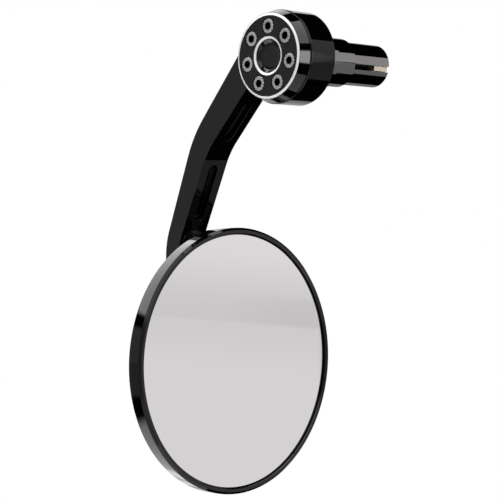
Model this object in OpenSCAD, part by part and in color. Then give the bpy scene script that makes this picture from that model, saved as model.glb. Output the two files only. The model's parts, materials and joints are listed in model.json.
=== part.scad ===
// Bar end mirror for a motorcycle, left side, hanging below the handlebar.
// The origin lies on the insert's axis, in the face that butts against the bar's end.
// +X runs into the handlebar, -Y points at the rider, +Z is up.

/* [Handlebar insert] */
// Diameter of the slotted tip that goes into the bar
tip_d = 14; // [13:0.1:15]
// Wall of the tip round the cone's large end
tip_wall = 1.4; // [1:0.05:1.8]
// Rise from the tip to the middle step
mid_rise = 0.9; // [0.5:0.1:1.5]
// Rise from the middle step to the root step
root_rise = 1.1; // [0.5:0.1:1.5]
// Length of the root step
root_len = 8.5; // [6:0.5:12]
// Length of the middle step
mid_len = 9; // [6:0.5:12]
// Length of the slotted tip
tip_len = 18; // [15:0.5:24]
// Number of expander slots
slot_count = 3; // [2:1:4]
// Width of an expander slot
slot_w = 1.9; // [1.4:0.1:2.4]
// Turn of the first slot below the rider's side, in degrees
slot_turn = 13; // [0:1:30]

/* [Expander] */
// Nominal diameter of the expander bolt
bolt_d = 6; // [5:0.5:6]
// Diameter of the bolt's head
bolt_head_d = 10; // [9:0.5:11]
// Height of the bolt's head
bolt_head_h = 6; // [4:0.5:6]
// Width across the flats of the bolt's hexagon socket
bolt_hex = 5; // [3:0.5:5]
// Thickness of the washer under the head
bolt_washer_t = 1; // [0.6:0.1:1.4]
// Length of the brass cone
cone_len = 8.5; // [6:0.5:10]
// Wall of the cone round the bolt at its small end
cone_wall = 1.2; // [1:0.1:1.4]

/* [Clamp head] */
// Wall of the arm's eye outside the hub's flange
eye_wall = 1.76; // [1.4:0.02:3]
// Thickness of the arm's eye
eye_t = 11.1; // [10:0.1:14]
// Wall of the hub outside the cap screws
hub_wall = 1.34; // [1:0.02:2]
// Step from the hub up to its rear flange
flange_step = 1.2; // [0.8:0.1:1.6]
// Thickness of the hub's rear flange
hub_flange_t = 2; // [1.5:0.1:3]
// Wall of the plain bush in the eye
bush_wall = 0.6; // [0.4:0.1:0.8]
// Thickness of the wave washer behind the eye
wave_t = 0.5; // [0.3:0.1:0.8]
// Thickness of the end cap
cap_t = 4.2; // [3.6:0.1:6]
// How far the cap's rear edge lies inside the eye's edge
cap_step = 0.3; // [0:0.05:0.6]
// How far the cap's side leans in from its rear edge to its front
cap_rake = 1.05; // [0.5:0.05:1.6]
// Width of the bright chamfer round the cap's face
cap_chamfer_w = 0.92; // [0.4:0.02:1.2]
// Depth of the bright chamfers
bright_depth = 0.4; // [0.2:0.05:0.8]
// Diameter of the recess in the middle of the cap
recess_d = 10.5; // [9:0.1:11]
// Width of the bright chamfer round the recess
recess_chamfer_w = 0.88; // [0.4:0.02:1.2]
// Depth of the recess down to the plug
recess_depth = 1.3; // [0.8:0.1:2]
// Thickness of the plug
plug_t = 2; // [1.2:0.1:2.4]
// Edge break at the seam between cap and eye
seam_break = 0.3; // [0.1:0.05:0.6]

/* [Cap screws] */
// Number of cap screws
screw_count = 7; // [5:1:8]
// Land between the recess and the screws' counterbores
screw_land = 0.7; // [0.4:0.1:1.2]
// Diameter of a screw head
screw_head_d = 4.7; // [4:0.1:4.8]
// Height of a screw head
screw_head_h = 2.5; // [2:0.1:2.8]
// Thread diameter of a screw
screw_d = 2.5; // [2:0.5:2.5]
// Length of a screw under its head
screw_len = 7; // [5:0.5:8]
// Width across the flats of a screw's hexagon socket
screw_hex = 2; // [1.5:0.1:2.2]
// Depth of a screw's hexagon socket
screw_hex_depth = 1.7; // [0.8:0.1:2]
// Gap round a screw head in its counterbore
screw_head_gap = 0.2; // [0.1:0.05:0.3]

/* [Arm] */
// How far the arm's rear face lies in front of the eye's
arm_back_set = 0.5; // [0.1:0.1:1.5]
// Width of the arm where it leaves the eye
arm_root_w = 10.7; // [9:0.1:12]
// How far the arm's forward edge lies inside the eye's edge
arm_root_set = 0.5; // [0:0.1:1]
// Forward distance of the elbow's forward corner from the bar's axis
elbow_y = 38.7; // [36:0.1:42]
// Drop of the elbow's forward corner below the bar's axis
elbow_drop = 23.5; // [20:0.1:28]
// Distance across the elbow, corner to corner
elbow_w = 8.58; // [7:0.02:11]
// Slope of the line between the elbow's corners, in degrees
elbow_lean = 36.9; // [25:0.1:50]
// Bend radius on the forward side of the elbow
elbow_r = 41; // [20:1:50]
// Bend radius on the rider's side of the elbow
elbow_in_r = 27; // [15:1:30]
// Forward distance of the foot's forward face
foot_y = 52.15; // [51:0.05:54]
// Thickness of the foot, forward face to rider's face
foot_w = 6.7; // [6.2:0.1:8]
// Height above the ball's axis at which the foot becomes upright
foot_lead = 0.4; // [0:0.1:2]
// Bend radius on the forward side of the foot
foot_r = 24; // [12:1:30]
// Bend radius on the rider's side of the foot
foot_in_r = 13; // [6:1:16]
// Length of the foot below the ball's axis
foot_below = 8; // [7:0.1:10]
// Corner radius at the foot's end
foot_end_r = 2.2; // [1:0.1:3]

/* [Arm pockets] */
// Width of the two milled pockets
pocket_w = 4; // [3:0.1:5]
// Depth of the pockets
pocket_depth = 2.6; // [1:0.1:3.5]
// Length of the upper pocket
pocket_up_len = 16; // [10:0.5:17]
// Distance from the upper pocket's lower end to the elbow's corner
pocket_up_end = 4.4; // [3:0.1:8]
// Distance from the lower pocket's upper end to the elbow's corner
pocket_low_start = 5; // [4:0.1:8]
// Length of the lower pocket
pocket_low_len = 20; // [12:0.5:21]

/* [Ball joint] */
// Distance of the ball's centre in front of the foot's rider face
ball_reach = 9.45; // [9:0.05:11]
// Drop of the ball's centre below the bar's axis
ball_drop = 59.4; // [58.4:0.1:61]
// Diameter of the ball
ball_d = 7.2; // [6.8:0.1:7.4]
// Diameter of the neck behind the ball
neck_d = 3; // [2.8:0.1:3.2]
// Diameter of the stud's shoulder
shoulder_d = 9.6; // [9:0.1:10]
// Width across the shoulder's two wrench flats
flats_w = 5; // [4.5:0.1:6]
// Thread diameter of the stud in the arm
stud_d = 5; // [4:0.5:5]
// Metal left behind the stud's thread
stud_cover = 1.2; // [1:0.1:2]
// Thickness of the ball's plastic seats
seat_t = 0.4; // [0.3:0.05:0.5]
// Wall of the round socket
socket_wall = 0.77; // [0.6:0.01:1.2]
// Half angle of the socket's opening, in degrees
socket_open = 50; // [48:1:54]
// Length of the socket's stem, from the boss to the ball's centre
stem_len = 5.6; // [5.2:0.1:7]
// Thread diameter of the socket's shank
shank_d = 4; // [3:0.5:4]

/* [Mirror] */
// Outer diameter of the mirror housing
mirror_d = 87.2; // [85:0.2:92]
// Depth of the straight side wall, with its rounded edges
side_depth = 5.5; // [5:0.1:8]
// Height of the domed back behind the side wall
dome_h = 5.7; // [4:0.1:8]
// Distance of the ball's axis inside the housing's edge
ball_inset = 5.54; // [5.4:0.02:8]
// How far the boss stands out of the domed back
boss_rise = 0.34; // [0.2:0.02:1]
// Radial width of the rim round the glass
rim_w = 1.84; // [1.6:0.02:2.4]
// Radius of the rim's outer edges
rim_round = 0.7; // [0.3:0.05:0.8]
// Chamfer of the rim's inner edge
rim_break = 0.3; // [0.1:0.05:0.5]
// How deep the glass lies behind the rim's face
glass_set = 1; // [0.5:0.1:1.5]
// Thickness of the glass
glass_t = 2; // [1.5:0.1:2.5]
// Thickness of the bonding tape
tape_t = 0.8; // [0.5:0.1:1]
// Width of the ledge that the tape lies on
ledge_w = 5.2; // [4:0.1:6]
// Wall of the domed back
back_wall = 1.8; // [1.4:0.1:2.2]

/* [Hidden] */
$fn = 72;
// running gap between turning parts, and play between fixed ones
run = 0.04;
fit = 0.03;
cut = 1;
round_steps = 6;
tip_x = root_len + mid_len;
insert_len = tip_x + tip_len;
bore_d = bolt_d + 0.6;
tip_break = 0.5;
step_break = 0.25;
head_gap = 0.3;
head_pocket = bolt_head_h + bolt_washer_t + head_gap;
tip_r = tip_d / 2;
mid_r = tip_r + mid_rise;
root_r = mid_r + root_rise;
cone_small_r = bolt_d / 2 + cone_wall;
cone_large_r = tip_r - tip_wall;
hub_front = -eye_t;
cap_front = -eye_t - cap_t;
lip_r = recess_d / 2 + recess_chamfer_w;
screw_pocket_r = screw_head_d / 2 + screw_head_gap;
screw_circle = lip_r + screw_land + screw_pocket_r;
hub_r = screw_circle + screw_d / 2 + hub_wall;
flange_r = hub_r + flange_step;
key_w = slot_w - 0.3;
key_root = 0.6;
key_set = 0.9;
bush_r = hub_r + run;
eye_bore_r = bush_r + bush_wall;
flange_seat_r = flange_r + run;
eye_r = flange_seat_r + eye_wall;
cap_rear_r = eye_r - cap_step;
cap_front_r = cap_rear_r - cap_rake;
flange_seat_t = hub_flange_t + wave_t + 0.1;
bush_len = eye_t - flange_seat_t - 2 * run;
plug_front = cap_front + recess_depth;
ring_t = 0.8;
ring_x = plug_front + (plug_t - ring_t) / 2;
elbow = [elbow_y, -elbow_drop];
elbow_in = elbow - elbow_w * [cos(elbow_lean), sin(elbow_lean)];
foot = [foot_y, foot_lead - ball_drop];
foot_in = foot - [foot_w, 0];
root = touch(elbow, eye_r - arm_root_set);
root_in = touch(elbow_in, eye_r - arm_root_set - arm_root_w);
arm_t = eye_t - arm_back_set;
arm_mid = hub_front + run + arm_t / 2;
joint_x = hub_front / 2;
stud_len = foot_w - stud_cover - fit;
foot_end = -ball_drop - foot_below;
ball_y = foot_y - foot_w - ball_reach;
shoulder_h = 2.2;
cone_h = 2.3;
cone_foot_r = shoulder_d / 2 - 1.6;
seat_in = ball_d / 2 + run;
seat_out = seat_in + seat_t;
cavity_r = seat_out + run;
socket_r = cavity_r + socket_wall;
socket_split = 0.9;
collar_end = cavity_r * cos(socket_open);
seat_gap = 0.5;
seat_end = 1.9;
waist_r = 3.7;
flange_h = 0.8;
mirror_r = mirror_d / 2;
open_r = mirror_r - rim_w;
hang = mirror_r - ball_inset;
mirror_z = -ball_drop - hang;
dome_edge_r = mirror_r - rim_round;
dome_r = (dome_edge_r * dome_edge_r + dome_h * dome_h) / (2 * dome_h);
dome_inner_r = dome_r - back_wall;
glass_front = glass_set;
ledge_y = glass_set + glass_t + tape_t;
glass_r = open_r - 0.15;
boss_r = 4.6;
collar_w = 0.2;
boss_top = dome_at(hang - boss_r) + boss_rise;
front_y = ball_y - stem_len - boss_top;

// turns a profile of [radius, distance along X] points about the bar's axis
module turned(profile) rotate([0, 90, 0]) rotate_extrude() polygon(profile);

// a round hole or pin along X, from x0 to x1
module rod(x0, x1, d) translate([x0, 0, 0]) rotate([0, 90, 0]) cylinder(h = x1 - x0, d = d);

// repeats its children round the bar's axis, the first straight up
module round_bar(count) for (i = [0 : count - 1]) rotate([i * 360 / count, 0, 0]) children();

// local +Z runs forward (+Y) from the ball's centre
module at_ball() translate([joint_x, ball_y, -ball_drop]) rotate([-90, 0, 0]) children();

// local +Z runs forward from the middle of the mirror's front face
module at_mirror() translate([joint_x, front_y, mirror_z]) rotate([-90, 0, 0]) children();

module hex_hole(across, depth) cylinder(h = depth, d = across / cos(30), $fn = 6);

// the point where a straight line from p touches a circle of radius r round the origin
function touch(p, r) = let (a = atan2(p.y, p.x) + acos(r / norm(p))) [r * cos(a), r * sin(a)];

// the corner p between the points a and b, rounded to radius r
function corner(a, p, b, r) = let (
    u = (a - p) / norm(a - p),
    v = (b - p) / norm(b - p),
    half = acos(u * v) / 2,
    mid = p + (u + v) / norm(u + v) * r / sin(half),
    from = p + u * r / tan(half) - mid,
    to = p + v * r / tan(half) - mid,
    start = atan2(from.y, from.x),
    sweep = (atan2(to.y, to.x) - start + 540) % 360 - 180
) [for (i = [0 : round_steps]) mid + r * [cos(start + sweep * i / round_steps),
    sin(start + sweep * i / round_steps)]];

// a quarter circle of radius r round the centre c, from angle a to angle a + 90
function quarter(c, r, a) = [for (i = [0 : round_steps]) let (t = a + 90 * i / round_steps)
    [c.x + r * cos(t), c.y + r * sin(t)]];

// height of the domed back's outside at the distance r from the mirror's middle
function dome_at(r) = side_depth + dome_h - dome_r + sqrt(dome_r * dome_r - r * r);

// outline of the arm across the bar: root, elbow, upright foot
function arm_outline() = let (
    end = [foot.x, foot_end],
    end_in = [foot_in.x, foot_end]
) concat([root], corner(root, elbow, foot, elbow_r), corner(elbow, foot, end, foot_r),
    corner(foot, end, end_in, foot_end_r), corner(end, end_in, foot_in, foot_end_r),
    corner(end_in, foot_in, elbow_in, foot_in_r), corner(foot_in, elbow_in, root_in, elbow_in_r),
    [root_in]);

// a pocket with round ends in the rider's face, along the edge from p to q
module pocket(p, q, start, len) {
    way = q - p;
    translate([arm_mid, p.x, p.y]) rotate([atan2(way.y, way.x), 0, 0])
        translate([0, start, -cut]) union() {
            translate([-pocket_w / 2, pocket_w / 2, 0])
                cube([pocket_w, len - pocket_w, pocket_depth + cut]);
            for (y = [pocket_w / 2, len - pocket_w / 2])
                translate([0, y, 0]) cylinder(h = pocket_depth + cut, d = pocket_w);
        }
}

// Arm: one piece milled from plate, with the eye that turns on the hub
module arm() color([0.16, 0.16, 0.17]) {
    upper = norm(elbow_in - root_in);
    difference() {
        union() {
            turned([[0, hub_front + run], [eye_r - seam_break, hub_front + run],
                [eye_r, hub_front + run + seam_break], [eye_r, -seam_break],
                [eye_r - seam_break, 0], [0, 0]]);
            translate([hub_front + run, 0, 0]) rotate([90, 0, 90])
                linear_extrude(height = arm_t) polygon(arm_outline());
        }
        rod(-eye_t - cut, cut, 2 * eye_bore_r);
        rod(-flange_seat_t, cut, 2 * flange_seat_r);
        pocket(root_in, elbow_in, upper - pocket_up_end - pocket_up_len, pocket_up_len);
        pocket(elbow_in, foot_in, pocket_low_start, pocket_low_len);
        at_ball() translate([0, 0, ball_reach]) cylinder(h = stud_len + fit, d = stud_d + 2 * fit);
        at_ball() cylinder(h = ball_reach, d = shoulder_d + collar_w);
    }
}

// Bush: thin plastic sleeve pressed into the arm's eye
module swivel_bush() color([0.85, 0.84, 0.8]) difference() {
    rod(hub_front + 2 * run, hub_front + 2 * run + bush_len, 2 * (eye_bore_r - fit));
    rod(hub_front, 0, 2 * bush_r);
}

// Insert: hub, flange and the stepped, slotted sleeve that grips inside the bar
module insert_body() color([0.1, 0.1, 0.11]) {
    taper = (cone_large_r - cone_small_r) / cone_len;
    seat_x = insert_len - cone_len - step_break - fit;
    difference() {
        turned([[0, hub_front], [hub_r - step_break, hub_front], [hub_r, hub_front + step_break],
            [hub_r, -hub_flange_t], [flange_r, -hub_flange_t], [flange_r, 0],
            [root_r, 0], [root_r, root_len - step_break], [root_r - step_break, root_len],
            [mid_r, root_len], [mid_r, tip_x - step_break], [mid_r - step_break, tip_x],
            [tip_r, tip_x], [tip_r, insert_len - tip_break], [tip_r - tip_break, insert_len],
            [0, insert_len]]);
        rod(hub_front - cut, insert_len + cut, bore_d);
        rod(hub_front - cut, hub_front + head_pocket, bolt_head_d + 2 * head_gap);
        turned([[0, seat_x], [cone_small_r - fit * taper + run, seat_x],
            [cone_large_r + (step_break + cut) * taper + run, insert_len + cut], [0, insert_len + cut]]);
        rotate([90 + slot_turn, 0, 0]) round_bar(slot_count)
            translate([tip_x + step_break, -slot_w / 2, 0]) cube([tip_len + cut, slot_w, tip_d]);
        round_bar(screw_count) translate([0, 0, screw_circle])
            rod(hub_front - cut, cap_front + screw_head_h + screw_len + 0.5, screw_d + 2 * fit);
    }
}

// Wave washer: keeps the eye pressed against the cap while the arm is set
module wave_washer() color([0.72, 0.73, 0.75]) difference() {
    rod(-flange_seat_t + fit, -flange_seat_t + fit + wave_t, 2 * (flange_r - fit));
    rod(-flange_seat_t, 0, 2 * (hub_r + fit));
}

// End cap: turned cone with a bright chamfer round its face and round its recess
module end_cap() color([0.13, 0.13, 0.14]) {
    face_r = cap_front_r - cap_chamfer_w;
    difference() {
        turned([[0, cap_front], [face_r, cap_front], [cap_front_r, cap_front + bright_depth],
            [cap_rear_r, hub_front - seam_break], [cap_rear_r - seam_break, hub_front],
            [0, hub_front]]);
        rod(cap_front - cut, hub_front + cut, recess_d);
        turned([[0, cap_front - cut], [lip_r + cut * recess_chamfer_w / bright_depth, cap_front - cut],
            [recess_d / 2, cap_front + bright_depth], [0, cap_front + bright_depth]]);
        round_bar(screw_count) translate([0, 0, screw_circle]) {
            rod(cap_front - cut, cap_front + screw_head_h, 2 * screw_pocket_r);
            rod(cap_front, hub_front + cut, screw_d + 0.2);
        }
    }
}

// Cap screws: socket head screws that clamp cap, eye and hub together
module cap_screws() color([0.5, 0.5, 0.52]) round_bar(screw_count) translate([0, 0, screw_circle])
    difference() {
        union() {
            turned([[0, cap_front], [screw_head_d / 2 - step_break, cap_front],
                [screw_head_d / 2, cap_front + step_break], [screw_head_d / 2, cap_front + screw_head_h],
                [0, cap_front + screw_head_h]]);
            rod(cap_front + screw_head_h - fit, cap_front + screw_head_h + screw_len, screw_d);
        }
        translate([cap_front - cut, 0, 0]) rotate([0, 90, 0]) hex_hole(screw_hex, screw_hex_depth + cut);
    }

// Centre plug: bare turned disc that covers the expander bolt
module centre_plug() color([0.14, 0.14, 0.15]) difference() {
    turned([[0, plug_front], [recess_d / 2 - fit - step_break, plug_front],
        [recess_d / 2 - fit, plug_front + step_break], [recess_d / 2 - fit, plug_front + plug_t],
        [0, plug_front + plug_t]]);
    turned([[recess_d / 2 - ring_t - fit, ring_x - fit], [recess_d, ring_x - fit],
        [recess_d, ring_x + ring_t + fit], [recess_d / 2 - ring_t - fit, ring_x + ring_t + fit]]);
}

// Ring: rubber ring in the plug's groove that holds it in the recess
module plug_ring() color([0.05, 0.05, 0.05]) turned([[recess_d / 2 - ring_t, ring_x],
    [recess_d / 2 - fit, ring_x], [recess_d / 2 - fit, ring_x + ring_t],
    [recess_d / 2 - ring_t, ring_x + ring_t]]);

// Expander bolt: draws the cone into the slotted tip
module expander_bolt() color([0.2, 0.2, 0.21]) {
    under_head = hub_front + head_pocket - bolt_washer_t - fit;
    difference() {
        union() {
            turned([[0, under_head - bolt_head_h], [bolt_head_d / 2 - step_break, under_head - bolt_head_h],
                [bolt_head_d / 2, under_head - bolt_head_h + step_break], [bolt_head_d / 2, under_head],
                [0, under_head]]);
            rod(under_head - fit, insert_len - step_break, bolt_d - 2 * run);
        }
        translate([under_head - bolt_head_h - cut, 0, 0]) rotate([0, 90, 0])
            hex_hole(bolt_hex, bolt_head_h / 2 + cut);
    }
}

// Bolt washer: lies on the floor of the head's pocket
module bolt_washer() color([0.7, 0.71, 0.73]) difference() {
    rod(hub_front + head_pocket - bolt_washer_t, hub_front + head_pocket, bolt_head_d + head_gap);
    rod(hub_front, hub_front + head_pocket + cut, bore_d);
}

// Expander cone: brass nut with a key in each slot
module expander_cone() color([0.83, 0.72, 0.5]) {
    large_x = insert_len - step_break;
    difference() {
        union() {
            turned([[0, large_x - cone_len], [cone_small_r, large_x - cone_len],
                [cone_large_r, large_x], [0, large_x]]);
            rotate([90 + slot_turn, 0, 0]) round_bar(slot_count)
                translate([large_x - cone_len, -key_w / 2, cone_small_r - key_root])
                    cube([cone_len, key_w, tip_r - key_set - cone_small_r + key_root]);
        }
        rod(0, insert_len + cut, bolt_d);
    }
}

// Ball stud: threaded into the arm's foot, with two wrench flats and a ball
module ball_stud() color([0.62, 0.63, 0.65]) {
    neck_end = ball_reach - shoulder_h - cone_h;
    at_ball() union() {
        sphere(d = ball_d);
        cylinder(h = neck_end + fit, d = neck_d);
        difference() {
            union() {
                translate([0, 0, neck_end]) cylinder(h = cone_h, r1 = cone_foot_r, r2 = shoulder_d / 2);
                translate([0, 0, neck_end + cone_h]) cylinder(h = shoulder_h - fit, d = shoulder_d);
            }
            for (side = [-1, 1]) translate([side * (flats_w + shoulder_d) / 2, 0, ball_reach - shoulder_h / 2])
                cube([shoulder_d, 2 * shoulder_d, 2 * (shoulder_h / 2 + cone_h) + cut], center = true);
        }
        translate([0, 0, ball_reach - shoulder_h / 2])
            cylinder(h = shoulder_h / 2 - fit, d = shoulder_d);
        translate([0, 0, ball_reach - 2 * fit]) cylinder(h = stud_len, d = stud_d);
    }
}

// a band of the thin seat round the ball, between two distances along the joint's axis
module seat_band(z0, z1) at_ball() difference() {
    intersection() {
        sphere(r = seat_out);
        translate([0, 0, z0]) cylinder(h = z1 - z0, r = 2 * seat_out);
    }
    sphere(r = seat_in);
    translate([0, 0, z0 - cut]) cylinder(h = z1 - z0 + 2 * cut, r = seat_in / 2);
}

// Seat cup: plastic seat in front of the ball
module seat_cup() color([0.9, 0.9, 0.88]) seat_band(-seat_out, -seat_gap);

// Seat ring: plastic seat behind the ball
module seat_ring() color([0.9, 0.9, 0.88]) seat_band(seat_gap, seat_end);

// Socket body: round cup on a threaded shank in the housing's boss
module socket_body() color([0.12, 0.12, 0.13]) {
    base = fit - stem_len;
    shank_end = ledge_y + fit - boss_top - stem_len;
    at_ball() difference() {
        union() {
            intersection() {
                sphere(r = socket_r);
                translate([0, 0, -socket_r]) cylinder(h = socket_r + socket_split, r = 2 * socket_r);
            }
            translate([0, 0, base]) cylinder(h = stem_len - cavity_r, r = waist_r);
            translate([0, 0, base]) cylinder(h = flange_h, r = boss_r - collar_w);
            translate([0, 0, shank_end]) cylinder(h = base + flange_h - shank_end, d = shank_d);
        }
        sphere(r = cavity_r);
        cylinder(h = socket_r, r = cavity_r);
    }
}

// Socket collar: threaded collar that closes the socket behind the ball
module socket_collar() color([0.12, 0.12, 0.13]) at_ball() difference() {
    intersection() {
        sphere(r = socket_r);
        translate([0, 0, socket_split + fit]) cylinder(h = collar_end - socket_split, r = 2 * socket_r);
    }
    sphere(r = cavity_r);
}

// Mirror housing: turned dish with a domed back and a boss for the socket
module mirror_housing() color([0.1, 0.1, 0.11]) {
    inner_edge = open_r - ledge_w;
    dome = [for (i = [0 : 2 * round_steps]) let (r = dome_edge_r * (1 - i / (2 * round_steps)))
        [r, dome_at(r)]];
    hollow = [for (i = [0 : 2 * round_steps]) let (r = inner_edge * (1 - i / (2 * round_steps)))
        [r, dome_at(0) - dome_r + sqrt(dome_inner_r * dome_inner_r - r * r)]];
    at_mirror() difference() {
        union() {
            rotate_extrude($fn = 144) polygon(concat([[0, 0], [open_r + rim_break, 0]],
                quarter([mirror_r - rim_round, rim_round], rim_round, -90),
                quarter([mirror_r - rim_round, side_depth - rim_round], rim_round, 0), dome));
            translate([0, -hang, 0]) cylinder(h = boss_top, r = boss_r);
        }
        difference() {
            rotate_extrude($fn = 144) polygon(concat([[0, -cut], [open_r + rim_break + cut, -cut],
                [open_r, rim_break], [open_r, ledge_y], [inner_edge, ledge_y]], hollow));
            translate([0, -hang, ledge_y]) cylinder(h = boss_top, r = boss_r);
        }
        translate([0, -hang, 0]) cylinder(h = boss_top + cut, d = shank_d + 2 * fit);
    }
}

// Bonding tape: ring of double-sided tape on the housing's ledge
module bonding_tape() color([0.2, 0.2, 0.2]) at_mirror() translate([0, 0, glass_set + glass_t]) difference() {
    cylinder(h = tape_t, r = glass_r - 0.4);
    translate([0, 0, -cut]) cylinder(h = tape_t + 2 * cut, r = open_r - ledge_w + 0.3);
}

// Mirror glass: round plate with a ground edge, silvered on its back
module mirror_glass() color([0.82, 0.83, 0.84]) at_mirror() rotate_extrude($fn = 144)
    polygon([[0, glass_front], [glass_r - rim_break, glass_front], [glass_r, glass_front + rim_break],
        [glass_r, glass_front + glass_t], [0, glass_front + glass_t]]);

arm();
swivel_bush();
insert_body();
wave_washer();
end_cap();
cap_screws();
centre_plug();
plug_ring();
expander_bolt();
bolt_washer();
expander_cone();
ball_stud();
seat_cup();
seat_ring();
socket_body();
socket_collar();
mirror_housing();
bonding_tape();
mirror_glass();
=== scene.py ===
import bmesh
import bpy
import json
import math
import numpy as np
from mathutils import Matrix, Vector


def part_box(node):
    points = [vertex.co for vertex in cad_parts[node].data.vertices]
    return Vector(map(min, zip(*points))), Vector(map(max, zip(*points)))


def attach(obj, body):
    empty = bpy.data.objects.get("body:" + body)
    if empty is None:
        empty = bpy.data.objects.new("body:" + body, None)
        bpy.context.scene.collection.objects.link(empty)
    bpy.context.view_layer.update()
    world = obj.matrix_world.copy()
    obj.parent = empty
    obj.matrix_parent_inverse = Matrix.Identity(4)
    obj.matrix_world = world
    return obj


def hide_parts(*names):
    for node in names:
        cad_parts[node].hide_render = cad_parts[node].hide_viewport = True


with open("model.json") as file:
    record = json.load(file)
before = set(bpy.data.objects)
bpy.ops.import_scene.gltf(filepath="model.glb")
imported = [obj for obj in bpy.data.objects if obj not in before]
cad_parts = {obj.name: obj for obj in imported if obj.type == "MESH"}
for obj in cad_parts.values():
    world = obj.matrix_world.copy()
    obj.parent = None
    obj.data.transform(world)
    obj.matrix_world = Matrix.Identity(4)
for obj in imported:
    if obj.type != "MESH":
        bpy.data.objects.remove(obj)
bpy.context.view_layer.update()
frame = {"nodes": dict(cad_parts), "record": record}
nodes = frame["nodes"]

# Camera: a long lens nearly level with the middle of the whole object, looking from outside
# and behind the bar's end, so that the arm's outer face and the glass are both seen.
scene = bpy.context.scene
camera = bpy.data.objects.new("camera", bpy.data.cameras.new("camera"))
camera.data.lens = 125.61
camera.data.sensor_width = 36.0
camera.data.clip_start = 0.05
camera.data.clip_end = 20.0
camera.location = (-0.406608, -0.383485, -0.055392)
camera_dip = 0.58  # degrees below level
camera_turn = -45.0  # degrees round from forward, towards the handlebar
camera.rotation_euler = (math.radians(90.0 - camera_dip), 0.0, math.radians(camera_turn))
scene.collection.objects.link(camera)
scene.camera = camera
scene.view_settings.view_transform = "Standard"

# Studio: soft boxes stand round the object, with dark gaps between them that the black
# metal shows as dark bands. The camera itself sees plain white behind the object.


class Value:
    """A shader socket on which Python arithmetic adds Math nodes."""

    def __init__(self, tree, socket):
        self.tree = tree
        self.socket = socket

    def math(self, operation, *others):
        node = self.tree.nodes.new("ShaderNodeMath")
        node.operation = operation
        for slot, item in zip(node.inputs, (self,) + others):
            if isinstance(item, Value):
                self.tree.links.new(item.socket, slot)
            else:
                slot.default_value = item
        return Value(self.tree, node.outputs[0])

    def __add__(self, other):
        return self.math("ADD", other)

    def __mul__(self, other):
        return self.math("MULTIPLY", other)

    def __sub__(self, other):
        return self.math("SUBTRACT", other)

    def __rsub__(self, other):
        return (self * -1.0) + other

    __radd__ = __add__
    __rmul__ = __mul__

    def node(self, kind, settings, inputs, output=0):
        """Any other node: its type, its settings, then the values or links of its sockets."""
        made = self.tree.nodes.new(kind)
        for name, setting in settings.items():
            setattr(made, name, setting)
        for name, item in inputs.items():
            if isinstance(item, Value):
                self.tree.links.new(item.socket, made.inputs[name])
            else:
                made.inputs[name].default_value = item
        return Value(self.tree, made.outputs[output])

    def ramp(self, low, high, start=0.0, end=1.0):
        """Runs smoothly from start to end while the value runs from low to high."""
        settings = {"interpolation_type": "SMOOTHSTEP"}
        inputs = {"Value": self, "From Min": low, "From Max": high, "To Min": start, "To Max": end}
        return self.node("ShaderNodeMapRange", settings, inputs)

    def between(self, low, high, soft):
        """1 where the value lies between low and high, with soft edges."""
        return self.ramp(low - soft, low + soft) * self.ramp(high - soft, high + soft, 1.0, 0.0)

    def mix(self, first, second):
        """The first colour where the value is 0, and the second where it is 1."""
        return self.node("ShaderNodeMix", {"data_type": "RGBA"}, {0: self, 6: first, 7: second}, 2)


world = bpy.data.worlds.new("studio")
scene.world = world
world.use_nodes = True
sky = world.node_tree
sky.nodes.clear()
way = sky.nodes.new("ShaderNodeTexCoord")
parts = sky.nodes.new("ShaderNodeSeparateXYZ")
sky.links.new(way.outputs["Generated"], parts.inputs[0])
way_x, way_y, way_z = (Value(sky, parts.outputs[i]) for i in range(3))
degree = 180.0 / math.pi
height = way_z.math("ARCSINE") * degree
turn = way_x.math("ARCTAN2", way_y) * degree
panel_left, panel_right, panel_low, panel_high = 132.55, 150.0, -14.0, 28.0
boxes = [
    # turn from forward to the right and height, in degrees, then soft edge and strength
    (-75, 31, 25, 62, 1.5, 3.1),
    (31, 54.2, 24.5, 52, 1.5, 1.7),
    (31, 58, -3, 24.5, 1.5, 1.0),
    (31, 60, -31, -3, 1.5, 0.72),
    (36, 60, -58, -45, 2, 0.45),
    (-75, 31, -62, -32.5, 3, 1.9),
    (20, 38, -39, -24, 2, 1.1),
    (-80, -15, -1.5, 18, 1.5, 0.43),
    (-80, -15, -20, -1.5, 2, 0.29),
    (100, panel_left, 0.3, 28, 0.3, 0.52),
    (100, panel_left, -34, -2.0, 0.4, 0.24),
    (154, 176, -15, 10.5, 2.5, 6.0),
    (104, 176, 50, 74, 2, 2.15),
    (140, 176, 26.5, 50, 1.5, 2.05),
    (103, 182, -76, -46.5, 1.5, 0.92),
    (-181, -145, -76, -46.5, 1.5, 0.5),
    (125, 176, -46.5, -40, 1.5, 0.92),
]
light = way_z * 0.0
for left, right, low, high, soft, strength in boxes:
    light = light + turn.between(left, right, soft) * height.between(low, high, soft) * strength

# The glass faces this panel, which is paler at its top and has a dim bar across it, lower on
# the picture's right. bar is the height in degrees above the horizon, tilted as the bar is.
bar_middle, bar_slope = 137.0, 0.08
bar = height + (bar_middle - turn) * bar_slope
panel = bar.ramp(-4.6, -2.9, 0.736, 0.686)
panel = panel - bar.ramp(-2.87, -2.77, 0.0, 0.033) + bar.ramp(-2.75, 0.0, 0.0, 0.141)
panel = panel - turn.ramp(133.0, 136.5, 0.045, 0.0) * bar.between(-2.82, -1.9, 0.1)
panel_shape = turn.between(panel_left, panel_right, 0.3) * height.between(panel_low, panel_high, 0.6)
light = light + panel_shape * panel

# The room behind the camera has a dim wall, a bright ceiling and a paler floor.
room_wall, room_ceiling, room_floor = 0.35, 1.4, 0.7
behind = (turn.ramp(-100.0, -92.0, 1.0, 0.0) + turn.ramp(176.0, 180.0)).math("MINIMUM", 1.0)
room = height.ramp(20.0, 30.0, room_wall, room_ceiling) + height.ramp(-30.0, -20.0, room_floor - room_wall, 0.0)
light = light + behind * room

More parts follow.
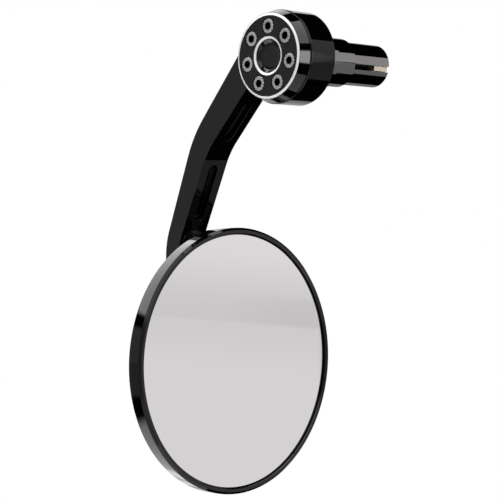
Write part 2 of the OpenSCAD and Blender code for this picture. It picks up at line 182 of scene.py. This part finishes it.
seen = Value(sky, sky.nodes.new("ShaderNodeLightPath").outputs["Is Camera Ray"])
box_tint, white = (1.0, 0.965, 0.98, 1.0), (1.0, 1.0, 1.0, 1.0)
shade = sky.nodes.new("ShaderNodeBackground")
sky.links.new(seen.mix(box_tint, white).socket, shade.inputs["Color"])
sky.links.new((seen + (1.0 - seen) * light).socket, shade.inputs["Strength"])
sky.links.new(shade.outputs[0], sky.nodes.new("ShaderNodeOutputWorld").inputs[0])

# Floor: a pale sheet below the hanging mirror. It is white to the camera, and the studio
# lies under it for reflections, so the black metal doesn't pick up its edge.
floor_half, floor_z = 3.0, -0.19
corners = [(-1, -1), (1, -1), (1, 1), (-1, 1)]
floor_mesh = bpy.data.meshes.new("floor")
floor_mesh.from_pydata([(x * floor_half, y * floor_half, floor_z) for x, y in corners], [], [(0, 1, 2, 3)])
floor = bpy.data.objects.new("floor", floor_mesh)
scene.collection.objects.link(floor)
floor.visible_glossy = False
floor.visible_transmission = False
paper = bpy.data.materials.new("floor_paper")
paper.use_nodes = True
tree = paper.node_tree
tree.nodes.clear()
rays = tree.nodes.new("ShaderNodeLightPath")
diffuse = tree.nodes.new("ShaderNodeBsdfDiffuse")
diffuse.inputs["Color"].default_value = (0.85, 0.85, 0.85, 1.0)
glow = tree.nodes.new("ShaderNodeEmission")
glow.inputs["Strength"].default_value = 1.0
mixed = tree.nodes.new("ShaderNodeMixShader")
tree.links.new(rays.outputs["Is Camera Ray"], mixed.inputs[0])
tree.links.new(diffuse.outputs[0], mixed.inputs[1])
tree.links.new(glow.outputs[0], mixed.inputs[2])
tree.links.new(mixed.outputs[0], tree.nodes.new("ShaderNodeOutputMaterial").inputs[0])
floor_mesh.materials.append(paper)

# Arm: one piece milled from aluminium plate, with an eye at its top, a cranked foot and two
# pockets in the rider's face. Its edges are broken and it is anodised gloss black.


def finish(name, color, metallic, roughness, grain=0.0, spread=0.15):
    """A machined surface, whose roughness and tone vary softly from one spot to the next.

    spread is how far the tone varies, and grain is how strong a fine relief stands on the surface.
    """
    cloud_scale, grain_scale, relief = 90.0, 1250.0, 0.00002
    material = bpy.data.materials.new(name)
    material.use_nodes = True
    tree = material.node_tree
    shader = tree.nodes["Principled BSDF"]
    place = Value(tree, tree.nodes.new("ShaderNodeTexCoord").outputs["Object"])
    cloud = place.node("ShaderNodeTexNoise", {}, {"Vector": place, "Scale": cloud_scale, "Detail": 3.0})
    tree.links.new((cloud * (0.5 * roughness) + 0.75 * roughness).socket, shader.inputs["Roughness"])
    dark = tuple((1.0 - spread) * c for c in color) + (1.0,)
    pale = tuple(min(1.0, (1.0 + spread) * c) for c in color) + (1.0,)
    tree.links.new(cloud.mix(dark, pale).socket, shader.inputs["Base Color"])
    shader.inputs["Metallic"].default_value = metallic
    if grain:
        fine = place.node("ShaderNodeTexNoise", {}, {"Vector": place, "Scale": grain_scale, "Detail": 2.0})
        bump = place.node("ShaderNodeBump", {}, {"Height": fine * grain, "Distance": relief, "Strength": 0.6})
        tree.links.new(bump.socket, shader.inputs["Normal"])
    return material


def add_piece(name, mesh, material, node, crease=28.0):
    """Puts a mesh into the scene as the piece that stands for a CAD node, on that node's body.

    Edges that turn by more than crease degrees stay sharp.
    """
    mesh.materials.clear()
    mesh.materials.append(material)
    mesh.shade_smooth()
    mesh.set_sharp_from_angle(angle=math.radians(crease))
    piece = bpy.data.objects.new(name, mesh)
    scene.collection.objects.link(piece)
    body = next(b for b, members in frame["record"]["behaviour"]["bodies"].items() if node in members)
    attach(piece, body)
    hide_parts(node)
    return piece


def deburred(name, node, material, edge, crease=28.0):
    """A copy of the CAD node with joined faces, whose sharp edges are broken by a round of radius edge."""
    merge_distance, flat_angle = 1e-6, 0.4
    work = bmesh.new()
    work.from_mesh(nodes[node].data)
    bmesh.ops.remove_doubles(work, verts=work.verts, dist=merge_distance)
    bmesh.ops.dissolve_limit(work, angle_limit=math.radians(flat_angle), verts=work.verts, edges=work.edges)
    mesh = bpy.data.meshes.new(name)
    work.to_mesh(mesh)
    work.free()
    if mesh.has_custom_normals:  # the loaded triangles' own normals don't fit the joined faces
        mesh.attributes.remove(mesh.attributes["custom_normal"])
    piece = add_piece(name, mesh, material, node, crease)
    if edge:
        bevel = piece.modifiers.new("deburr", "BEVEL")
        bevel.width = edge
        bevel.segments = 2
        bevel.limit_method = "ANGLE"
        bevel.angle_limit = math.radians(crease)
        bevel.use_clamp_overlap = False
        bevel.harden_normals = True
    return piece


# the dye takes nearly all light, and the sealed layer gives the gloss
gloss_black = (0.0008, 0.0008, 0.0009)
arm_black = finish("arm_anodised", gloss_black, 0.0, 0.035)
arm_edge = 0.0001
deburred("arm_milled", "arm", arm_black, arm_edge)

# Insert: hub, flange and three steps for bars of different bores, turned from one piece of
# aluminium and slotted at its tip. It is polished and finished bright black.
turned_crease = 12.0  # degrees, below which a turned curve is smooth
insert_black = finish("insert_bright_black", (0.42, 0.42, 0.425), 1.0, 0.05, spread=0.04)
insert_edge_tint = (0.35, 0.35, 0.355, 1.0)
insert_black.node_tree.nodes["Principled BSDF"].inputs["Specular Tint"].default_value = insert_edge_tint
deburred("insert_turned", "insert_body", insert_black, 0.0, turned_crease)

# Swivel bush: thin plain ring of white acetal, turned and pressed into the arm's eye. It
# runs on the insert's hub.


def dress(node, material):
    """Gives a CAD node its material in every slot."""
    mesh = nodes[node].data
    mesh.materials.clear()
    mesh.materials.append(material)


dress("swivel_bush", finish("bush_acetal", (0.75, 0.74, 0.7), 0.0, 0.45, grain=0.2))

# Wave washer: ring of bare spring steel between the eye and the insert's flange. The cap
# presses it, which gives the swivel its friction.
dress("wave_washer", finish("washer_spring_steel", (0.55, 0.56, 0.58), 1.0, 0.25, grain=0.2))

# End cap: turned from aluminium and anodised gloss black, then its two chamfers are cut
# bright. It is clamped to the insert's hub by the cap screws.
cap_black = finish("cap_anodised", gloss_black, 0.0, 0.05)
deburred("cap_turned", "end_cap", cap_black, 0.0, turned_crease)


def masked(material, mask, color, metallic, roughness):
    """Where mask(x, radius) is 1, the finish turns into another colour, metal and roughness."""
    tree = material.node_tree
    shader = tree.nodes["Principled BSDF"]
    place = Value(tree, tree.nodes.new("ShaderNodeTexCoord").outputs["Object"])
    split = tree.nodes.new("ShaderNodeSeparateXYZ")
    tree.links.new(place.socket, split.inputs[0])
    x, y, z = (Value(tree, split.outputs[i]) for i in range(3))
    amount = mask(x, (y * y + z * z).math("SQRT"))
    tone = Value(tree, shader.inputs["Base Color"].links[0].from_socket)
    tree.links.new(amount.mix(tone, color + (1.0,)).socket, shader.inputs["Base Color"])
    rough = Value(tree, shader.inputs["Roughness"].links[0].from_socket)
    tree.links.new((rough + (roughness - rough) * amount).socket, shader.inputs["Roughness"])
    start = shader.inputs["Metallic"].default_value
    if metallic != start:
        tree.links.new((amount * (metallic - start) + start).socket, shader.inputs["Metallic"])


cap_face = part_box("end_cap")[0][0]
bright_depth = 0.00034
bright_outer = (0.01274, 0.0142)
bright_inner = (0.0054, 0.00612)
bright_soft = 0.00002
bright_metal = (0.95, 0.95, 0.95)


def bright_chamfer(x, radius):
    """1 on the two cones cut at the cap's face: by their radius, and by their depth under the face."""
    cones = radius.between(*bright_outer, bright_soft) + radius.between(*bright_inner, bright_soft)
    end = cap_face + bright_depth
    return cones * x.ramp(end - bright_soft, end + bright_soft, 1.0, 0.0)


masked(cap_black, bright_chamfer, bright_metal, 0.25, 0.5)

# Centre plug: turned aluminium dish with a flared rim, anodised like the cap. It is pressed
# into the cap's recess and covers the bolt's head. Its groove for the ring is hidden, and
# isn't drawn.


def angles(columns):
    """The angle of each column: even steps, once round."""
    return np.arange(columns) * 2.0 * np.pi / columns


def revolved(name, rows, place, columns, bored=False):
    """A grid of rings: row i lies at along[i], column j at the angle 2 pi j / columns.

    rows is a list of (along, radius), where radius is a number or an array with one value for
    each column. A point lies sideways by its radius times the angle's cosine, and upward by its
    radius times the sine. place(along, sideways, upward) turns these into the scene's x, y, z.
    The first and last ring have radius 0, and each is drawn together into one point. A bored
    piece has no such points: its last ring is joined to its first.
    """
    angle = angles(columns)
    rings = rows if bored else rows[1:-1]
    along = np.array([row[0] for row in rings], float)[:, None] * np.ones(columns)
    radius = np.array([row[1] * np.ones(columns) for row in rings])
    x, y, z = place(along, radius * np.cos(angle), radius * np.sin(angle))
    points = np.stack([x, y, z], axis=-1).reshape(-1, 3)
    bands = len(rings) if bored else len(rings) - 1
    i, j = np.meshgrid(np.arange(bands), np.arange(columns), indexing="ij")
    k = (j + 1) % columns
    m = (i + 1) % len(rings)
    quads = [i * columns + j, i * columns + k, m * columns + k, m * columns + j]
    faces = np.stack(quads, axis=-1).reshape(-1, 4).tolist()
    if not bored:
        zero = np.array(0.0)
        ends = np.array([place(np.array(row[0]), zero, zero) for row in (rows[0], rows[-1])], float)
        j = np.arange(columns)
        k = (j + 1) % columns
        top = (len(rings) - 1) * columns
        first = np.full(columns, len(points))
        faces += np.stack([first, k, j], axis=-1).tolist()
        faces += np.stack([first + 1, top + j, top + k], axis=-1).tolist()
        points = np.vstack([points, ends])
    mesh = bpy.data.meshes.new(name)
    mesh.from_pydata(points.tolist(), [], faces)
    return mesh


def joined(name, meshes):
    """One mesh made of one or more shells, with their places kept and all faces turned outwards."""
    work = bmesh.new()
    for shell in meshes:
        work.from_mesh(shell)
    bmesh.ops.recalc_face_normals(work, faces=work.faces)
    mesh = bpy.data.meshes.new(name)
    work.to_mesh(mesh)
    work.free()
    return mesh


def round_bar(along, sideways, upward):
    """Rings round the bar's axis: along is x."""
    return along, sideways, upward


plug_low, plug_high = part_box("centre_plug")
plug_face, plug_back, plug_r = plug_low[0], plug_high[0], plug_high[2]
plug_rim, plug_flare, plug_fillet, plug_lip, plug_columns = 0.0009, 0.0009, 0.0001, 0.00004, 120
plug_rows = [
    (plug_face, 0.0),
    (plug_face, 0.5 * plug_r),
    (plug_face, plug_r - plug_flare - plug_fillet),
    (plug_face - 0.5 * plug_fillet, plug_r - plug_flare),
    (plug_face - plug_rim, plug_r - plug_lip),
    (plug_face - plug_rim + 0.75 * plug_lip, plug_r),
    (plug_back, plug_r),
    (plug_back, 0.5 * plug_r),
    (plug_back, 0.0),
]
plug_mesh = joined("plug_turned", [revolved("plug_dish", plug_rows, round_bar, plug_columns)])
plug_black = finish("plug_anodised", gloss_black, 0.0, 0.05)
add_piece("plug_turned", plug_mesh, plug_black, "centre_plug")

# Plug ring: moulded ring of black rubber in the plug's groove, which grips the recess.
# It holds the plug without a screw.
dress("plug_ring", finish("ring_rubber", (0.02, 0.02, 0.02), 0.0, 0.6, grain=0.5))

# Cap screws: seven socket head screws of grey steel with knurled heads, in counterbores.
# They pull the cap on to the insert's hub.


def hexagon(across, columns):
    """Radius of a hexagon at each column's angle: half its width over the cosine to the nearest flat."""
    return 0.5 * across / np.cos((angles(columns) + np.pi / 6) % (np.pi / 3) - np.pi / 6)


screw_low, screw_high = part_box("cap_screws")
screw_face, screw_end = screw_low[0], screw_high[0]
screw_count, screw_columns = 7, 144
head_r, head_h, head_break, shank_r = 0.00235, 0.0025, 0.0001, 0.00124
knurls, knurl_depth, knurl_end = 14, 0.00026, 0.0023
socket_width, socket_depth, socket_step, drill_point, socket_break = 0.00245, 0.0011, 0.0001, 0.0017, 0.00006
screw_circle = screw_high[2] - head_r
knurl = head_r - knurl_depth * (0.5 - 0.5 * np.cos(knurls * angles(screw_columns)))
socket_outline = hexagon(socket_width, screw_columns)
screw_rows = [
    (screw_face + drill_point, 0.0),
    (screw_face + socket_depth + socket_step, 0.8 * socket_outline),
    (screw_face + socket_depth, socket_outline),
    (screw_face + socket_break, socket_outline),
    (screw_face, socket_outline + socket_break),
    (screw_face, knurl - 1.4 * head_break),
    (screw_face + head_break, knurl),
    (screw_face + knurl_end, knurl),
    (screw_face + head_h, head_r - 2.0 * head_break),
    (screw_face + head_h, shank_r),
    (screw_end, shank_r),
    (screw_end, 0.0),
]


def on_circle(number):
    """Rings round one screw's axis: they are moved out to the screws' circle and turned by its angle."""
    lean = 2.0 * math.pi * number / screw_count
    sine, cosine = math.sin(lean), math.cos(lean)

    def place(along, sideways, upward):
        out = upward + screw_circle
        return along, sideways * cosine - out * sine, sideways * sine + out * cosine

    return place


def painted_socket_shade(x, radius):
    """1 under the heads' faces, where the sockets and the knurls' flanks are painted near black: painted shade
    in these recesses.
    """
    return x.ramp(screw_face + head_break, screw_face + 3.0 * head_break)


screws = [revolved("screw", screw_rows, on_circle(number), screw_columns) for number in range(screw_count)]
screw_grey = finish("screw_grey_steel", (0.64, 0.64, 0.65), 1.0, 0.3, grain=0.3, spread=0.3)
# painted shade: the grey steel turns near black in the sockets and on the knurls' flanks down in the
# counterbores
masked(screw_grey, painted_socket_shade, (0.004, 0.004, 0.004), 1.0, 0.4)
add_piece("screws_knurled", joined("screws_knurled", screws), screw_grey, "cap_screws")

# Expander bolt: blackened steel with a socket head and a rolled thread, which shows through
# the insert's slot. It runs through the insert into the cone and draws it in.
bolt_low, bolt_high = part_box("expander_bolt")
bolt_top, bolt_end = bolt_low[0], bolt_high[0]
bolt_r, bolt_end_r, bolt_columns = 0.00296, 0.0023, 64
bolt_head, bolt_head_r, bolt_head_face_r, bolt_head_chamfer = 0.006, 0.0049, 0.0044, 0.0004
bolt_socket, bolt_point, bolt_break = 0.003, 0.0035, 0.0002
bolt_hex = hexagon(0.005, bolt_columns)
pitch, thread_depth, plain_shank, end_chamfer = 0.001, 0.0006, 0.004, 0.0005
thread_start = bolt_top + bolt_head + plain_shank


def threaded(x):
    """Radius of the thread at x: flat-topped ridges that climb one pitch a turn, fading in over two.

    A ridge is full within an eighth of a pitch of its middle, and gone at three eighths.
    """
    phase = ((x / pitch) - angles(bolt_columns) / (2.0 * np.pi)) % 1.0
    ridge = np.clip(1.5 - np.abs(phase - 0.5) * 4.0, 0.0, 1.0)
    fade = min(1.0, (x - thread_start) / (2.0 * pitch))
    return bolt_r - thread_depth * fade * (1.0 - ridge)


bolt_rows = [
    (bolt_top + bolt_point, 0.0),
    (bolt_top + bolt_socket, bolt_hex),
    (bolt_top + bolt_break, bolt_hex),
    (bolt_top, bolt_hex + bolt_break),
    (bolt_top, bolt_head_face_r),
    (bolt_top + bolt_head_chamfer, bolt_head_r),
    (bolt_top + bolt_head, bolt_head_r),
    (bolt_top + bolt_head, bolt_r),
]
bolt_rows += [(x, threaded(x)) for x in np.arange(thread_start, bolt_end - end_chamfer, pitch / 10)]
bolt_rows += [(bolt_end, bolt_end_r), (bolt_end, 0.0)]
bolt_mesh = joined("bolt_threaded", [revolved("bolt_bar", bolt_rows, round_bar, bolt_columns)])
bolt_black = finish("bolt_blackened", (0.05, 0.05, 0.052), 1.0, 0.22, grain=0.1)
add_piece("bolt_threaded", bolt_mesh, bolt_black, "expander_bolt")

# Bolt washer: flat ring of zinc-plated steel, pressed from sheet. It lies under the bolt's
# head and spreads its load on the aluminium.
dress("bolt_washer", finish("washer_zinc", (0.6, 0.6, 0.6), 1.0, 0.3, grain=0.3))

# Expander cone: turned brass nut that the bolt draws into the insert's taper. A key in each
# of the three slots keeps it from turning.
cone_low, cone_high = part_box("expander_cone")
cone_small, cone_large, cone_bore, cone_edge = 0.0042, 0.0056, 0.003, 0.0001
cone_columns, cone_steps, cone_shortened = 360, 12, 0.0021
key_top, key_half, key_angle, key_pitch = 0.0061, 0.0008, math.radians(193.0), 2.0 * np.pi / 3.0
cone_start, cone_end = cone_low[0] + cone_shortened, cone_high[0]
from_key = (angles(cone_columns) - key_angle + 0.5 * key_pitch) % key_pitch - 0.5 * key_pitch
# across a key, the radius is its flat top's height over the cosine, or its half width over the sine
keys = np.minimum(key_top / np.cos(from_key), key_half / np.maximum(np.abs(np.sin(from_key)), 1e-6))


def cone_at(x):
    """Radius of the cone at x: in even steps from its small end to its large end."""
    return cone_small + (cone_large - cone_small) * (x - cone_low[0]) / (cone_end - cone_low[0])


cone_rows = [(cone_start, cone_bore), (cone_start, np.maximum(cone_at(cone_start), keys) - cone_edge)]
for x in np.linspace(cone_start + cone_edge, cone_end - cone_edge, cone_steps):
    cone_rows.append((x, np.maximum(cone_at(x), keys)))
cone_rows += [(cone_end, np.maximum(cone_large, keys) - cone_edge), (cone_end, cone_bore)]
cone_mesh = joined("cone_turned", [revolved("cone_nut", cone_rows, round_bar, cone_columns, bored=True)])
cone_brass = finish("cone_brass", (0.96, 0.86, 0.72), 1.0, 0.45, spread=0.04)
add_piece("cone_turned", cone_mesh, cone_brass, "expander_cone")

# Ball stud: turned from steel, with a shoulder and wrench flats, and blackened. It is
# screwed into the arm's foot and carries the joint's ball.
stud_black = finish("stud_black_oxide", (0.006, 0.006, 0.0065), 0.0, 0.12, grain=0.1)
stud_edge = 0.00012
deburred("stud_turned", "ball_stud", stud_black, stud_edge)

# Ball seats: cup and ring of white acetal, turned to the ball's curve. They lie before and
# behind the ball in the socket, and give the joint its friction.
seat_white = finish("seat_acetal", (0.8, 0.8, 0.78), 0.0, 0.45, grain=0.2)
dress("seat_cup", seat_white)
dress("seat_ring", seat_white)

# Socket and collar: turned from aluminium and anodised black. The collar is screwed on to
# the socket and closes it over the ball, and the socket's shank is screwed into the housing.
socket_black = finish("socket_anodised", gloss_black, 0.0, 0.07, grain=0.05)
socket_edge, collar_edge = 0.00012, 0.00015
deburred("socket_turned", "socket_body", socket_black, socket_edge)
deburred("collar_turned", "socket_collar", socket_black, collar_edge)

# Mirror housing: aluminium dish with a flat rim and a domed back, turned and anodised gloss
# black. A boss on its back takes the socket's shank. It is drawn as a closed shell of its
# own, set into the dish, and the hidden hole for the shank isn't drawn.
house_low, house_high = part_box("mirror_housing")
front = house_low[1]
mirror_r = 0.5 * (house_high[0] - house_low[0])
mid_x = 0.5 * (house_high[0] + house_low[0])
mid_z = house_low[2] + mirror_r
rim_width, rim_chamfer, rim_break = 0.00184, 0.00068, 0.0001
side_depth, dome_height, back_radius, back_wall = 0.0055, 0.0057, 0.0007, 0.0018
ledge, ledge_width = 0.0038, 0.0052
hollow_steps, dome_steps, dish_columns, boss_columns = 40, 60, 256, 72
rim_flat_r = mirror_r - rim_chamfer - rim_break
open_r = mirror_r - rim_width
inner_r = open_r - ledge_width
dome_edge = mirror_r - back_radius
dome_r = (dome_edge ** 2 + dome_height ** 2) / (2.0 * dome_height)


def dome(r, wall=0.0):
    """Height of the domed back at radius r: a sphere through its edge, or one a wall's thickness inside.

    It is the height of the sphere's middle plus the root of its radius squared less r squared.
    """
    return side_depth + dome_height - dome_r + np.sqrt((dome_r - wall) ** 2 - r ** 2)


house_rows = [(dome(r, back_wall), r) for r in np.linspace(0.0, inner_r, hollow_steps)]
house_rows += [
    (ledge, inner_r),
    (ledge, open_r),
    (rim_break, open_r),
    (0.0, open_r + rim_break),
    (0.0, rim_flat_r),
    (0.5 * rim_chamfer, rim_flat_r + 0.5 * rim_chamfer),
    (rim_chamfer, rim_flat_r + rim_chamfer),
    (rim_chamfer + rim_break, mirror_r),
]
for lean in np.radians(np.arange(0, 91, 9)):
    round_back = side_depth - back_radius + back_radius * math.sin(lean)
    house_rows.append((round_back, dome_edge + back_radius * math.cos(lean)))
house_rows += [(dome(r), r) for r in np.linspace(dome_edge, 0.0, dome_steps)[1:]]


def round_mirror(along, sideways, upward):
    """Rings round the mirror's axis: along runs forward from the rim's face."""
    return mid_x + sideways, front + along, mid_z + upward


seat_low, seat_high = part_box("seat_cup")
joint_z = 0.5 * (seat_low[2] + seat_high[2])
boss_r, boss_root_r, boss_height, boss_break = 0.0046, 0.003, 0.002, 0.00015
boss_top = house_high[1] - front  # the dome's height, 3.1 mm past the end of the solid's boss
boss_rows = [
    (ledge, 0.0),
    (ledge, boss_root_r),
    (boss_top - boss_height, boss_r),
    (boss_top - boss_break, boss_r),
    (boss_top, boss_r - boss_break),
    (boss_top, boss_root_r),
    (boss_top, 0.0),
]


def round_shank(along, sideways, upward):
    """Rings round the socket's shank: along runs forward from the rim's face."""
    return mid_x + sideways, front + along, joint_z + upward


dish = revolved("dish", house_rows, round_mirror, dish_columns)
boss = revolved("boss", boss_rows, round_shank, boss_columns)
housing_black = finish("housing_gloss_black", gloss_black, 0.0, 0.04, grain=0.01)
housing_gloss = 0.42  # a little under the arm's 0.5
housing_black.node_tree.nodes["Principled BSDF"].inputs["Specular IOR Level"].default_value = housing_gloss
housing = joined("housing_turned", [dish, boss])
add_piece("housing_turned", housing, housing_black, "mirror_housing")

# Bonding tape: ring of black foam tape, cut from sheet. It holds the glass on the housing's
# ledge and takes up its unevenness.
dress("bonding_tape", finish("tape_foam", (0.03, 0.03, 0.03), 0.0, 0.8, grain=0.8))

# Mirror glass: flat round plate with a ground edge, silvered on its back. It is pressed on
# to the tape, just behind the rim's face.
dress("mirror_glass", finish("glass_silvered", (0.9, 0.9, 0.905), 1.0, 0.01, spread=0.0))
